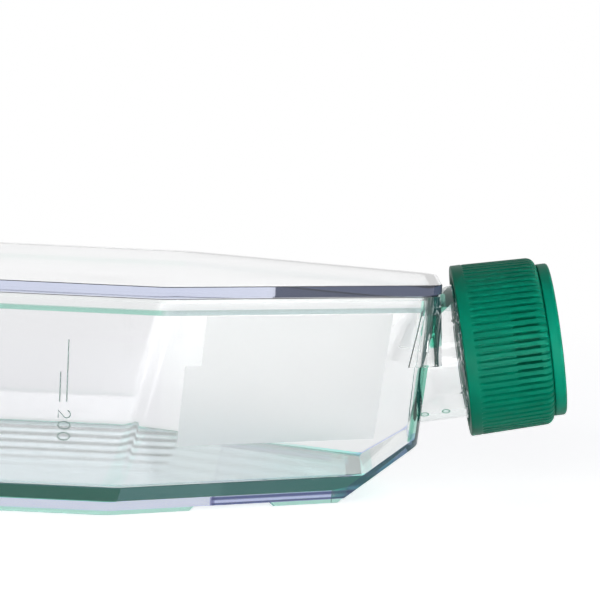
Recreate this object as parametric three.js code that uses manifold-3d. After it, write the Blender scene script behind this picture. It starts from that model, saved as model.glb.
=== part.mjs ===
// Cell culture flask with a canted neck and a vented screw cap, lying on its broad floor.
// Millimetres, +Z up, +X towards the cap. The flask's own zero for X is near the middle of its shoulders;
// the whole group is moved at the end so that the origin is at the centre of the box's bottom.

import * as THREE from 'three';
import { mergeVertices } from 'three/addons/utils/BufferGeometryUtils.js';
import Module from 'manifold-3d';

// ---- Driving dimensions ------------------------------------------------------------------------------

// Heights, from the surface that the flask stands on.
const footHeight = 0.9; // the feet lift the skirt's edge by this much
const floorUnderside = 2.9;
const floorThickness = 2.95;
const rimBottom = 43.9; // underside of the bead below the tub's rim
const rimHeight = 3.4; // from there to the tub's open edge
const beadHeight = 1.0;
const weldLandHeight = 0.6; // step under the top plate that is welded on the tub's edge
const weldGap = 0.02; // between that step and the edge, so that rounded numbers never make them overlap
const topPlateThickness = 2.2;

// Plan of the tub's outer wall, just under the rim (top), and how far it lies in at the surface (draft).
const backX = -170;
const topPlan = { bendX: -31.5, halfWidth: 55.3, frontX: 28.6, frontHalf: 16.4 };
const draft = { bendX: 10.7, halfWidth: 1.1, frontX: 3.6, frontHalf: 5.2 };
const cornerRadius = { back: 10, bend: 7, front: 6 };
const cornerSteps = { back: 7, bend: 4, front: 5 };

// Walls and edges.
const wall = 1.75;
const floorFillet = 0.8;
const filletSteps = 3;
const beadOverhang = 1.2; // how far the bead and the top plate stand out from the wall
const rimOverhang = 0.8; // how far the rim between them stands out
const plateChamfer = 0.4;
const weldLandInset = 0.7;
const tongueDepth = 0.9; // ring under the top plate that sits in the tub's mouth
const tongueWidth = 1.2;
const tongueClearance = 0.3;

// Ramp from the floor up to the front wall.
const rampRun = 16.8; // from where its underside would meet the surface to the foot of the front wall
const rampAngle = 35.5; // degrees
const rampThickness = 2.0;
const frontSkirtWidth = 2.0; // wall that closes the hollow under the floor at the front

// Feet under the skirt, along both sides.
const rearFootSetback = 14; // from the back wall
const rearFootReach = 6.9; // past the bend of the plan's sides
const frontFootLength = 14.6; // up to the ramp
const footWidth = 2.2;

// Skirts that hang from the rim over the front corners.
const skirtDepth = 12.4; // below the bead
const skirtLean = 1.1; // how far the bottom edge stands forward of the top
const skirtThickness = 1.4;
const skirtReturn = 3.6; // how far the skirt runs back from the front wall
const skirtSlant = { run: 2.4, depth: 11.8 }; // how far its rear edge slants back, over its lowest part

// Neck. Stations are measured along its axis from the cap's lower edge, outwards.
const neckTilt = 10; // degrees above the horizontal
const neckStandoff = 6.8; // from the front wall to the cap's lower edge, on the axis
const neckDrop = 13.7; // from the rim's top down to the axis there
const neckRadius = 15.4;
const neckWall = 1.7;
const neckEnd = 14.6;
const neckCrownWall = 3.4; // over the bore, where the neck's top is sloped
const neckMouthChamfer = 0.4;
const neckRunIn = 16; // how far the neck's tube is started behind the cap's edge, before it is cut
const collar = { from: -1, to: 0.6, height: 0.7 };
const neckCutStart = 1.7; // ahead of the front wall, where the neck's top is sloped down to the rim
const neckCutRise = 0.93;
const neckSegments = 48;

// Thread: one right-handed ridge on the neck, one in the cap.
const threadLead = 4.5;
const neckThreadStart = 4.85;
const neckThreadTurns = 1.5;
const capThreadTurns = 1.25;
const threadRootWidth = 1.7;
const threadCrestWidth = 1.1;
const threadFlankGap = 0.35;
const threadCrestGap = 0.5;
const threadDepth = 1.5;
const threadSteps = 24; // a turn
const threadBite = 0.3; // how deep a ridge is rooted in its wall

// Cap.
const capWall = 2.6; // from the bore to the ribs' tops, at the lower edge
const capTaper = 0.4; // the ribs' tops come in by this much up to the shoulder
const capShoulder = 2.2;
const capBand = 2.6; // plain band at the lower edge
const capBandChamfer = 0.3;
const capBoreLead = { width: 0.4, depth: 0.8 };
const ribCount = 72;
const ribDepth = 0.8;
const capTopThickness = 2.7;
const capLedge = 1.4; // the cap's top reaches in over the seal by this much
const discInset = 1.8; // from the ribs' tops to the disc's edge
const discHeight = 2.5;
const discEdge = 0.8;
const ventCount = 6;
const ventRadius = 1.6;
const ventCircle = 6.2;
const ventSegments = 16;
const pieceGap = 0.3; // between pieces of the cap that are clamped or snapped together
const sealThickness = 1.2;
const sealOverlap = 1.3; // how far the seal reaches in over the neck's bore
const membraneThickness = 0.4;

// ---- Sizes that follow from them ---------------------------------------------------------------------

const radians = THREE.MathUtils.degToRad;
const floorTop = floorUnderside + floorThickness;
const rimTop = rimBottom + rimHeight;
const plateBottom = rimTop + weldLandHeight;
const plateTop = plateBottom + topPlateThickness;
const planKeys = Object.keys(topPlan);
const footPlan = Object.fromEntries(planKeys.map((key) => [key, topPlan[key] - draft[key]]));
const rampStartX = footPlan.frontX - rampRun;
const feetSpans = [
  { fromX: backX + rearFootSetback, toX: topPlan.bendX + rearFootReach },
  { fromX: rampStartX - frontFootLength, toX: rampStartX },
];
const capEdgeX = topPlan.frontX + neckStandoff;
const capEdgeZ = rimTop - neckDrop;
const neckCutX = topPlan.frontX + neckCutStart;
const neckBoreRadius = neckRadius - neckWall;
const threadCrest = neckRadius + threadDepth;
const capBore = threadCrest + threadCrestGap;
const capCrest = neckRadius + threadCrestGap;
const capRadius = capBore + capWall;
const capTopRadius = capRadius - capTaper;
const discRadius = capTopRadius - discInset;
const sealInnerRadius = neckBoreRadius - sealOverlap;
const capHole = sealInnerRadius - capLedge;
const sealBottom = neckEnd + pieceGap;
const membraneBottom = sealBottom + sealThickness + pieceGap;
const capTopInside = membraneBottom + membraneThickness + pieceGap;
const capLength = capTopInside + capTopThickness;
const innerRadius = capBore - pieceGap; // outer radius of what lies loose under the cap's top
const far = 400; // longer than anything that it cuts

const wasm = await Module();
wasm.setup();

// ---- Solids and meshes -------------------------------------------------------------------------------

/** A manifold solid from a closed three.js geometry. */
function solid(geometry) {
  const bare = geometry.clone();
  bare.deleteAttribute('normal');
  bare.deleteAttribute('uv');
  const merged = mergeVertices(bare, 1e-4);
  return new wasm.Manifold(new wasm.Mesh({
    numProp: 3,
    vertProperties: new Float32Array(merged.attributes.position.array),
    triVerts: new Uint32Array(merged.index.array),
  }));
}

/** A three.js geometry from a manifold solid. */
function geometryOf(body) {
  const mesh = body.getMesh();
  const geometry = new THREE.BufferGeometry();
  geometry.setAttribute('position', new THREE.BufferAttribute(new Float32Array(mesh.vertProperties), 3));
  geometry.setIndex(new THREE.BufferAttribute(new Uint32Array(mesh.triVerts), 1));
  return geometry;
}

/** A closed geometry through rings of points, all with the same number of points and with convex ends. */
function loft(rings) {
  const count = rings[0].length;
  const positions = rings.flat().flatMap((point) => [point.x, point.y, point.z]);
  const triangles = [];
  for (let ring = 0; ring + 1 < rings.length; ring += 1) {
    for (let i = 0; i < count; i += 1) {
      const a = ring * count + i;
      const b = ring * count + ((i + 1) % count);
      triangles.push(a, b, b + count, a, b + count, a + count);
    }
  }
  const last = (rings.length - 1) * count;
  for (let i = 1; i + 1 < count; i += 1) {
    triangles.push(0, i + 1, i);
    triangles.push(last, last + i, last + i + 1);
  }
  const geometry = new THREE.BufferGeometry();
  geometry.setAttribute('position', new THREE.Float32BufferAttribute(positions, 3));
  geometry.setIndex(triangles);
  return geometry;
}

/** A prism with its outline in the XZ plane, running far to both sides along Y. */
function sidePrism(points) {
  const shape = new THREE.Shape(points.map(([x, z]) => new THREE.Vector2(x, z)));
  const geometry = new THREE.ExtrudeGeometry(shape, { depth: far, bevelEnabled: false });
  geometry.rotateX(Math.PI / 2);
  geometry.translate(0, far / 2, 0);
  return solid(geometry);
}

/** A solid of revolution about +Z from [radius, station] points that start and end on the axis. */
function turned(points, segments = neckSegments) {
  const geometry = new THREE.LatheGeometry(points.map(([r, s]) => new THREE.Vector2(r, s)), segments);
  geometry.rotateX(Math.PI / 2);
  return solid(geometry);
}

/** A ring of revolution about +Z from a closed outline of [radius, station] points. */
function turnedRing(points, segments = neckSegments) {
  return turned([...points, points[0]], segments);
}

// ---- Plan outlines -----------------------------------------------------------------------------------

/** The tub's plan at height z: straight sides, long slanted shoulders and a short front wall. */
function planAt(z) {
  const { lerp } = THREE.MathUtils;
  const share = z / rimBottom;
  return Object.fromEntries(planKeys.map((key) => [key, lerp(footPlan[key], topPlan[key], share)]));
}

/** The plan's corners, anticlockwise from above, each with the radius of its wall's outside. */
function cornersOf(plan) {
  const near = [
    { x: backX, y: -plan.halfWidth, ...pickCorner('back') },
    { x: plan.bendX, y: -plan.halfWidth, ...pickCorner('bend') },
    { x: plan.frontX, y: -plan.frontHalf, ...pickCorner('front') },
  ];
  const opposite = near.map((corner) => ({ ...corner, y: -corner.y })).reverse();
  return [...near, ...opposite];
}

function pickCorner(name) {
  return { radius: cornerRadius[name], steps: cornerSteps[name] };
}

/** The corners moved outwards by `offset`, keeping every side parallel. */
function offsetCorners(corners, offset) {
  const count = corners.length;
  const sides = corners.map((a, i) => {
    const b = corners[(i + 1) % count];
    const along = new THREE.Vector2(b.x - a.x, b.y - a.y).normalize();
    const out = new THREE.Vector2(along.y, -along.x);
    return { out, reach: out.x * a.x + out.y * a.y + offset };
  });
  return corners.map((corner, i) => {
    const before = sides[(i + count - 1) % count];
    const after = sides[i];
    const cross = before.out.x * after.out.y - before.out.y * after.out.x;
    return {
      ...corner,
      x: (before.reach * after.out.y - after.reach * before.out.y) / cross,
      y: (after.reach * before.out.x - before.reach * after.out.x) / cross,
      radius: Math.max(corner.radius + offset, 0.5),
    };
  });
}

/** The tub's outline with round corners, laid at height z, offset outwards from the wall's outside. */
function outline(plan, offset, z) {
  const corners = offsetCorners(cornersOf(plan), offset);
  const points = [];
  corners.forEach((corner, i) => {
    const before = corners[(i + corners.length - 1) % corners.length];
    const after = corners[(i + 1) % corners.length];
    const angleIn = Math.atan2(corner.y - before.y, corner.x - before.x);
    let turn = Math.atan2(after.y - corner.y, after.x - corner.x) - angleIn;
    if (turn < 0) turn += 2 * Math.PI;
    const setback = corner.radius * Math.tan(turn / 2);
    const startX = corner.x - setback * Math.cos(angleIn);
    const startY = corner.y - setback * Math.sin(angleIn);
    const centreX = startX - corner.radius * Math.sin(angleIn);
    const centreY = startY + corner.radius * Math.cos(angleIn);
    for (let step = 0; step <= corner.steps; step += 1) {
      const angle = angleIn + (turn * step) / corner.steps;
      const x = centreX + corner.radius * Math.sin(angle);
      const y = centreY - corner.radius * Math.cos(angle);
      points.push(new THREE.Vector3(x, y, z));
    }
  });
  return points;
}

/** An upright prism on the rim's outline. */
function rimPrism(offset, fromZ, toZ) {
  return solid(loft([outline(topPlan, offset, fromZ), outline(topPlan, offset, toZ)]));
}

// ---- Neck axis ---------------------------------------------------------------------------------------

const neckFrame = new THREE.Matrix4()
  .makeTranslation(capEdgeX, 0, capEdgeZ)
  .multiply(new THREE.Matrix4().makeRotationY(radians(90 - neckTilt)));

/** A solid made about +Z, laid along the neck's axis. */
function onNeck(body) {
  return body.transform(neckFrame.elements);
}

/** The space above the slope that takes the neck's top down to the rim, lowered by `drop`. */
function neckSlopeCut(drop) {
  const kneeX = neckCutX + drop * Math.tan(Math.atan(neckCutRise) / 2);
  const kneeZ = rimTop - drop;
  const run = neckStandoff;
  return sidePrism([
    [topPlan.bendX, kneeZ], [kneeX, kneeZ], [kneeX + run, kneeZ + run * neckCutRise],
    [kneeX + run, far], [topPlan.bendX, far],
  ]);
}

/** One helical ridge about +Z, with its ends run out. `inward` points it at the axis. */
function threadRidge({ wallRadius, crestRadius, start, turns }) {
  const steps = Math.round(turns * threadSteps);
  const runOut = threadSteps / 4;
  const direction = Math.sign(crestRadius - wallRadius);
  const rootRadius = wallRadius - direction * threadBite;
  const rings = [];
  for (let step = 0; step <= steps; step += 1) {
    const angle = (step / threadSteps) * 2 * Math.PI;
    const station = start + (threadLead * step) / threadSteps;
    const rise = Math.min(1, step / runOut, (steps - step) / runOut);
    const crest = THREE.MathUtils.lerp(wallRadius - direction * threadBite / 2, crestRadius, rise);
    const half = THREE.MathUtils.lerp(threadRootWidth, threadCrestWidth, rise) / 2;
    const section = [
      [rootRadius, -threadRootWidth / 2], [crest, -half], [crest, half], [rootRadius, threadRootWidth / 2],
    ];
    const ring = section.map(([radius, along]) => new THREE.Vector3(
      radius * Math.cos(angle), radius * Math.sin(angle), station + along));
    rings.push(direction > 0 ? ring : ring.reverse());
  }
  return solid(loft(rings));
}

// ---- Body --------------------------------------------------------------------------------------------

/** The ramp's plane as the space in front of and below it, moved inwards by `thickness`. */
function belowRamp(thickness) {
  const lift = thickness / Math.cos(radians(rampAngle));
  const run = topPlan.halfWidth;
  const rise = run * Math.tan(radians(rampAngle));
  return sidePrism([
    [rampStartX - run, lift - rise], [rampStartX + run, lift - rise], [rampStartX + run, lift + rise],
  ]);
}

function tubOuter() {
  const shell = solid(loft([
    outline(planAt(footHeight), 0, footHeight), outline(topPlan, 0, rimBottom), outline(topPlan, 0, rimTop),
  ]));
  const bead = rimPrism(beadOverhang, rimBottom, rimBottom + beadHeight);
  const rim = rimPrism(rimOverhang, rimBottom, rimTop);
  return shell.add(bead).add(rim).add(feet()).subtract(belowRamp(0)).add(cornerSkirts());
}

function feet() {
  const plan = planAt(0);
  const outer = solid(loft([outline(plan, 0, 0), outline(planAt(floorUnderside), 0, floorUnderside)]));
  const inner = solid(loft([
    outline(plan, -footWidth, -footHeight), outline(plan, -footWidth, floorUnderside),
  ]));
  const ends = feetSpans.map(({ fromX, toX }) => sidePrism([
    [fromX, 0], [toX, 0], [toX + footHeight, footHeight], [toX + footHeight, 2 * footHeight],
    [fromX - footHeight, 2 * footHeight], [fromX - footHeight, footHeight],
  ]));
  return outer.subtract(inner).intersect(ends[0].add(ends[1]));
}

/** Skirts round the front corners, from the bead down. The neck's bore is cut through them later. */
function cornerSkirts() {
  const skirtBottom = rimBottom - skirtDepth;
  const rearX = topPlan.frontX - skirtReturn;
  const lowerPlan = { ...topPlan, frontX: topPlan.frontX + skirtLean };
  const leaning = (offset) => solid(loft([
    outline(lowerPlan, offset, skirtBottom), outline(topPlan, offset, rimBottom + beadHeight),
  ]));
  const ring = leaning(beadOverhang).subtract(leaning(beadOverhang - skirtThickness));
  return ring.intersect(sidePrism([
    [rearX - skirtSlant.run, skirtBottom], [far, skirtBottom], [far, rimBottom + beadHeight / 2],
    [rearX, rimBottom + beadHeight / 2], [rearX, skirtBottom + skirtSlant.depth],
  ]));
}

function tubInside() {
  const rings = [];
  for (let step = 0; step <= filletSteps; step += 1) {
    const angle = (step / filletSteps) * (Math.PI / 2);
    const z = floorTop + floorFillet * (1 - Math.cos(angle));
    rings.push(outline(planAt(z), -wall - floorFillet * (1 - Math.sin(angle)), z));
  }
  rings.push(outline(topPlan, -wall, rimBottom), outline(topPlan, -wall, rimTop + 1));
  return solid(loft(rings)).subtract(belowRamp(rampThickness));
}

function hollowUnderFloor() {
  const depth = floorUnderside + 1;
  const plan = planAt(0);
  const upper = planAt(floorUnderside);
  const space = solid(loft([
    outline(plan, -wall, floorUnderside - depth), outline(upper, -wall, floorUnderside),
  ]));
  const frontX = rampStartX - frontSkirtWidth;
  return space.intersect(sidePrism([[backX, -depth], [frontX, -depth], [frontX, far], [backX, far]]));
}

function neckTube() {
  const { from, to, height } = collar;
  const radius = neckRadius + height;
  const tube = turned([
    [0, -neckRunIn], [neckRadius, -neckRunIn], [neckRadius, from - height], [radius, from], [radius, to],
    [neckRadius, to + height], [neckRadius, neckEnd - neckMouthChamfer],
    [neckRadius - neckMouthChamfer, neckEnd], [0, neckEnd],
  ]);
  const ridge = threadRidge({
    wallRadius: neckRadius, crestRadius: threadCrest, start: neckThreadStart, turns: neckThreadTurns,
  });
  return onNeck(tube.add(ridge)).subtract(neckSlopeCut(0)).intersect(aheadOfFrontWall());
}

/** The space ahead of the middle of the front wall, which leans back towards the floor. */
function aheadOfFrontWall() {
  const height = 2 * rimTop;
  return sidePrism([
    [planAt(0).frontX - wall / 2, 0], [far, 0], [far, height], [planAt(height).frontX - wall / 2, height],
  ]);
}

function neckBore() {
  const start = -neckRunIn - 1;
  const end = neckEnd + 1;
  const bore = turned([[0, start], [neckBoreRadius, start], [neckBoreRadius, end], [0, end]]);
  return onNeck(bore).subtract(neckSlopeCut(neckCrownWall));
}

function body() {
  const outer = tubOuter().add(neckTube());
  return outer.subtract(tubInside()).subtract(neckBore()).subtract(hollowUnderFloor());
}

// ---- Top plate ---------------------------------------------------------------------------------------

function topPlate() {
  const plate = solid(loft([
    outline(topPlan, beadOverhang, plateBottom),
    outline(topPlan, beadOverhang, plateTop - plateChamfer),
    outline(topPlan, beadOverhang - plateChamfer, plateTop),
  ]));
  const land = rimPrism(beadOverhang - weldLandInset, rimTop + weldGap, plateBottom + plateChamfer);
  const tongueOut = -wall - tongueClearance;
  const tongue = rimPrism(tongueOut, rimTop - tongueDepth, plateBottom)
    .subtract(rimPrism(tongueOut - tongueWidth, rimTop - tongueDepth - 1, plateBottom + 1));
  return plate.add(land).add(tongue);
}

// ---- Cap ---------------------------------------------------------------------------------------------

/** The outline at one station, one ridge and one groove a rib, as a ring of points. */
function ribRing(tipRadius, rootRadius, station) {
  const points = [];
  for (let step = 0; step < 2 * ribCount; step += 1) {
    const angle = (step * Math.PI) / ribCount;
    const radius = step % 2 ? rootRadius : tipRadius;
    points.push(new THREE.Vector3(radius * Math.cos(angle), radius * Math.sin(angle), station));
  }
  return points;
}

function capShell() {
  const shoulderEnd = capTopRadius - capShoulder;
  const ribs = solid(loft([
    ribRing(capRadius, capRadius - ribDepth, capBand / 2),
    ribRing(capTopRadius, capTopRadius - ribDepth, capLength - capShoulder),
    ribRing(shoulderEnd, shoulderEnd - ribDepth, capLength),
  ]));
  const band = turned([
    [0, 0], [capRadius - capBandChamfer, 0], [capRadius, capBandChamfer], [capRadius, capBand], [0, capBand],
  ]);
  const lead = capBoreLead;
  const inside = turned([
    [0, -1], [capBore + lead.width, -1], [capBore + lead.width, lead.depth - lead.width],
    [capBore, lead.depth], [capBore, capTopInside], [0, capTopInside],
  ]);
  const hole = turned([[0, 0], [capHole, 0], [capHole, capLength + 1], [0, capLength + 1]]);
  const ridge = threadRidge({
    wallRadius: capBore, crestRadius: capCrest, turns: capThreadTurns,
    start: neckThreadStart - (threadRootWidth + threadCrestWidth) / 2 - threadFlankGap,
  });
  return ribs.add(band).subtract(inside).add(ridge).subtract(hole);
}

function capDisc() {
  const seat = capLength + pieceGap;
  const top = seat + discHeight;
  const disc = turned([
    [0, capTopInside], [capHole - pieceGap, capTopInside], [capHole - pieceGap, seat], [discRadius, seat],
    [discRadius, top - discEdge], [discRadius - discEdge, top], [0, top],
  ]);
  let vented = disc;
  for (let vent = 0; vent < ventCount; vent += 1) {
    const angle = (vent * 2 * Math.PI) / ventCount;
    const hole = turned([[0, 0], [ventRadius, 0], [ventRadius, top + 1], [0, top + 1]], ventSegments);
    vented = vented.subtract(hole.translate([ventCircle * Math.cos(angle), ventCircle * Math.sin(angle), 0]));
  }
  return vented;
}

function sealRing() {
  return turnedRing([
    [sealInnerRadius, sealBottom], [innerRadius, sealBottom],
    [innerRadius, sealBottom + sealThickness], [sealInnerRadius, sealBottom + sealThickness],
  ]);
}

function ventMembrane() {
  const top = membraneBottom + membraneThickness;
  return turned([[0, membraneBottom], [innerRadius, membraneBottom], [innerRadius, top], [0, top]]);
}

// ---- Assembly ----------------------------------------------------------------------------------------

const clearPlastic = new THREE.MeshStandardMaterial({
  color: 0xdfe8e6, roughness: 0.08, metalness: 0, transparent: true, opacity: 0.35,
});
const greenPlastic = new THREE.MeshStandardMaterial({ color: 0x007a55, roughness: 0.4, metalness: 0 });
const paleGreenPlastic = new THREE.MeshStandardMaterial({ color: 0x2c9a78, roughness: 0.45, metalness: 0 });
const whiteFilm = new THREE.MeshStandardMaterial({ color: 0xf4f4f0, roughness: 0.9, metalness: 0 });
const greySeal = new THREE.MeshStandardMaterial({ color: 0xd9dcd8, roughness: 0.7, metalness: 0 });

function piece(name, shape, material) {
  const mesh = new THREE.Mesh(geometryOf(shape), material);
  mesh.name = name;
  return mesh;
}

const flask = new THREE.Group();
flask.add(piece('body', body(), clearPlastic));
flask.add(piece('top_plate', topPlate(), clearPlastic));

const cap = new THREE.Group();
cap.applyMatrix4(neckFrame);
cap.add(piece('cap_shell', capShell(), greenPlastic));
cap.add(piece('cap_disc', capDisc(), paleGreenPlastic));
cap.add(piece('vent_membrane', ventMembrane(), whiteFilm));
cap.add(piece('seal_ring', sealRing(), greySeal));
flask.add(cap);

// The origin goes to the middle of the box's bottom.
flask.updateMatrixWorld(true);
const box = new THREE.Box3().setFromObject(flask, true);
flask.position.x = -(box.min.x + box.max.x) / 2;

export default flask;
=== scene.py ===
"""Looks of the cell culture flask: clear tub and top plate, green vented screw cap, plain studio.

Lengths are in millimetres in the flask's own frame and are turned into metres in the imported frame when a
mesh is made. Sizes that also drive the CAD model have the same values there.
"""
import math

import bmesh
import bpy
from mathutils import Matrix, Vector


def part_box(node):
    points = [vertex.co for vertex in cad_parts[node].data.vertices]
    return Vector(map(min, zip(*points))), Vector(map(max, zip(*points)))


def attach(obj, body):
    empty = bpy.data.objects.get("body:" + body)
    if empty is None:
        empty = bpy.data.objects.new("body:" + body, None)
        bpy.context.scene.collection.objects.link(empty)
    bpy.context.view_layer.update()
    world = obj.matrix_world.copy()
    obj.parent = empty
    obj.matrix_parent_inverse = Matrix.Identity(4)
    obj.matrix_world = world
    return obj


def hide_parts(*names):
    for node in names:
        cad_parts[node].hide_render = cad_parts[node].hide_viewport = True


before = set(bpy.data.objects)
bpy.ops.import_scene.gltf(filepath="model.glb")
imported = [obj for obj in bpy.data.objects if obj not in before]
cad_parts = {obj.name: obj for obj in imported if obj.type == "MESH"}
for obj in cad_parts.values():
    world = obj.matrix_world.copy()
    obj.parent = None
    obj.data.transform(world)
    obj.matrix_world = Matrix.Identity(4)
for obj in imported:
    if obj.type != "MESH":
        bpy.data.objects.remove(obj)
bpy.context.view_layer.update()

MM = 0.001

# ---- Sizes shared with the CAD model -------------------------------------------------------------------

FOOT_HEIGHT = 0.9
FLOOR_UNDERSIDE = 2.9
FLOOR_THICKNESS = 2.95
RIM_BOTTOM = 43.9
RIM_HEIGHT = 3.4
BEAD_HEIGHT = 1.0
WELD_LAND_HEIGHT = 0.6
TOP_PLATE_THICKNESS = 2.2
BACK_X = -170.0
TOP_PLAN = {"bend_x": -31.5, "half_width": 55.3, "front_x": 28.6, "front_half": 16.4}
FOOT_PLAN = {"bend_x": -42.2, "half_width": 54.2, "front_x": 25.0, "front_half": 11.2}
CORNER_RADIUS = {"back": 10.0, "bend": 7.0, "front": 6.0}
WALL = 1.75
FLOOR_FILLET = 0.8
BEAD_OVERHANG = 1.2
RIM_OVERHANG = 0.8
WELD_LAND_INSET = 0.7
TONGUE_DEPTH = 0.9
TONGUE_WIDTH = 1.2
TONGUE_CLEARANCE = 0.3
RAMP_START_X = 8.2
RAMP_ANGLE = math.radians(35.5)
RAMP_THICKNESS = 2.0
FRONT_SKIRT_WIDTH = 2.0
REAR_FOOT = (-156.0, -24.6)
FRONT_FOOT = (-6.4, RAMP_START_X)
FOOT_WIDTH = 2.2
SKIRT_BOTTOM = 31.5
SKIRT_LEAN = 1.1
SKIRT_THICKNESS = 1.4
SKIRT_REAR_TOP_X = 25.0
SKIRT_REAR_BOTTOM_X = 22.6
SKIRT_SLANT_TOP = 43.3
NECK_TILT = math.radians(10.0)
CAP_EDGE = Vector((35.4, 0.0, 33.6))
NECK_RADIUS = 15.4
NECK_WALL = 1.7
NECK_CROWN_WALL = 3.4
NECK_END = 14.6
NECK_RUN_IN = 16.0
NECK_CUT_X = 30.3
NECK_CUT_RISE = 0.93
THREAD_LEAD = 4.5
NECK_THREAD_START = 4.85
NECK_THREAD_TURNS = 1.5
CAP_THREAD_TURNS = 1.25
THREAD_ROOT_WIDTH = 1.7
THREAD_CREST_WIDTH = 1.1
THREAD_FLANK_GAP = 0.35
THREAD_CREST_GAP = 0.5
THREAD_DEPTH = 1.5
CAP_LENGTH = 19.8
CAP_RADIUS = 20.0
CAP_TOP_RADIUS = 19.6
CAP_SHOULDER = 2.2
CAP_BAND = 2.6
RIB_COUNT = 72
RIB_DEPTH = 0.8
CAP_HOLE = 11.0
DISC_RADIUS = 17.8
DISC_HEIGHT = 2.5
VENT_COUNT = 6
VENT_RADIUS = 1.6
VENT_CIRCLE = 6.2
PIECE_GAP = 0.3
SEAL_THICKNESS = 1.2
SEAL_INNER_RADIUS = 12.4
MEMBRANE_THICKNESS = 0.4

FLOOR_TOP = FLOOR_UNDERSIDE + FLOOR_THICKNESS
RIM_TOP = RIM_BOTTOM + RIM_HEIGHT
PLATE_BOTTOM = RIM_TOP + WELD_LAND_HEIGHT
PLATE_TOP = PLATE_BOTTOM + TOP_PLATE_THICKNESS
CAP_BORE = NECK_RADIUS + THREAD_DEPTH + THREAD_CREST_GAP
SEAL_BOTTOM = NECK_END + PIECE_GAP
MEMBRANE_BOTTOM = SEAL_BOTTOM + SEAL_THICKNESS + PIECE_GAP
CAP_TOP_INSIDE = MEMBRANE_BOTTOM + MEMBRANE_THICKNESS + PIECE_GAP
INNER_RADIUS = CAP_BORE - PIECE_GAP

# ---- Sizes of what only the looks have -----------------------------------------------------------------

CORNER_STEPS = {"back": 16, "bend": 10, "front": 12}
NECK_STEPS = 144
EDGE_ROUND = 0.22
PLATE_EDGE_ROUND = 0.2
MOUTH_ROUND = 0.5
# The neck's collar at the cap's edge: where it starts and ends along the neck, and its radius. It is lower
# than the CAD model's, which would bend the view of the cap's inside into streaks.
COLLAR = (-0.3, 0.6, 15.7)
DISC_LIP_GAP = 0.05
DISC_ROUND = 0.7
DISC_DISH = 0.3
FAR = 400.0

# The cap's grooves between ribs, as shares of the ribs' pitch and depth, the ribs' rounded crowns, and where
# the deeper vent slots lie along the cap.
GROOVE_HALF_WIDTH, GROOVE_FLANK, GROOVE_DEPTH = 0.21, 0.13, 0.75
RIB_CROWN = 0.05
VENT_SLOT, VENT_SLOT_DEPTH = (11.6, 17.6), 1.2

# Studio: the table's own colour, what is added to it where it is seen, where it is plain white (metres from
# the middle), and the colours of the room's light from the front, beyond the back end, behind and overhead.
FLOOR_COLOR = (0.85, 0.85, 0.85)
FLOOR_LIFT = 0.66
FLOOR_GAP = 0.05
WHITE_FLOOR_FROM = (0.16, 0.5)
ROOM_COLOR = (0.93, 0.94, 0.96)
BACK_END_COLOR = (0.05, 0.07, 0.16)
BEHIND_COLOR = (1.03, 1.03, 1.05)
OVERHEAD_COLOR = (0.2, 0.2, 0.21)

# Where those colours of the room come in, as shares of a direction along -X, Y and Z.
BACK_END_REACH = (0.5, 0.85)
BEHIND_REACH = (0.3, 0.8)
OVERHEAD_REACH = (0.1, 0.7)

# The camera: its place in the flask's millimetres, focal length, and degrees looking down and rolled over.
CAMERA_PLACE = Vector((-2.5, -657.6, 100.3))
CAMERA_LENS = 169.8
CAMERA_DOWN = 4.91
CAMERA_ROLL = 2.63

# Clear plastic, and the frosted writing panel on the near shoulder: its ends' X on the surface that the
# flask stands on and how far they lean forward for each millimetre of height.
TUB_COLOR = (1.0, 0.99, 0.99)
CLEAR_ROUGHNESS = 0.015
PANEL_ROUGHNESS = 0.42
PANEL_BOTTOM, PANEL_TOP = 14.7, 43.5
PANEL_REAR = (-28.9, 0.07)
PANEL_FRONT = (14.1, 0.105)
PANEL_STEP, PANEL_STEP_Z = 3.4, 32.5

# Bands of painted light and shade and faint waves on the floor, along its far edge and across it at the bend.
FLOOR_LINE_SPACING = 13.0
FLOOR_WAVE = 0.045
FRONT_WAVE = 0.15
FLOOR_WAVE_FADE = 40.0
FAR_BAND_WIDTH = 8.5
FAR_LINE_WIDTH = 1.2
BEND_BAND = (-43.8, -39.6)

# Painted light and shade on the edges, in place of light bent and trapped in the plastic: the lines (bottom,
# top, softness) along the hollow under the floor, where they start, how the floor's edge turns greener
# towards the front, the front wall's edge and the front skirts' middle.
HOLLOW_LINES = ((0.95, 1.4, 0.2), (2.05, 2.8, 0.4))
HOLLOW_LINES_FROM = -20.0
HOLLOW_LINE_WIDTH = 0.6
FLOOR_EDGE_FADE = (-22.0, 14.0)
FRONT_EDGE_DEPTH = (-2.6, -0.15)
FRONT_EDGE_BOTTOM = 13.5
SKIRT_WINDOW_X = (27.3, 29.2)
SKIRT_WINDOW_Z = (35.8, 43.0)

# Two oval marks (X, Z) on the near side of the neck: half width and half height, and the inner part's share.
OVALS = ((27.5, 19.4), (32.35, 20.4))
OVAL_SIZE = (1.0, 0.6)
OVAL_INNER = 0.45

# A plain volume number on the near straight wall, turned so that it reads downwards, and the lines above it
# as (X, bottom, top).
MARK_NUMBER = "200"
MARK_LEFT, MARK_RIGHT = -53.2, -50.6
MARK_TOP, MARK_BOTTOM = 22.5, 15.3
MARK_LINES = ((-53.0, 24.3, 30.8), (-51.5, 24.3, 37.8))
MARK_WIDTH, MARK_HEIGHT, MARK_GAP = 0.26, 0.08, 0.02

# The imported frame's origin is the middle of the box's bottom, so the flask's own zero is found from a face
# whose place is known in both: the front edge of the top plate.
PLATE_FRONT = TOP_PLAN["front_x"] + BEAD_OVERHANG
ORIGIN_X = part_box("top_plate")[1][0] / MM - PLATE_FRONT
TO_WORLD = Matrix.Scale(MM, 4) @ Matrix.Translation((ORIGIN_X, 0, 0))
NECK_FRAME = Matrix.Translation(CAP_EDGE) @ Matrix.Rotation(math.pi / 2 - NECK_TILT, 4, "Y")


# ---- Meshes --------------------------------------------------------------------------------------------

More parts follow.
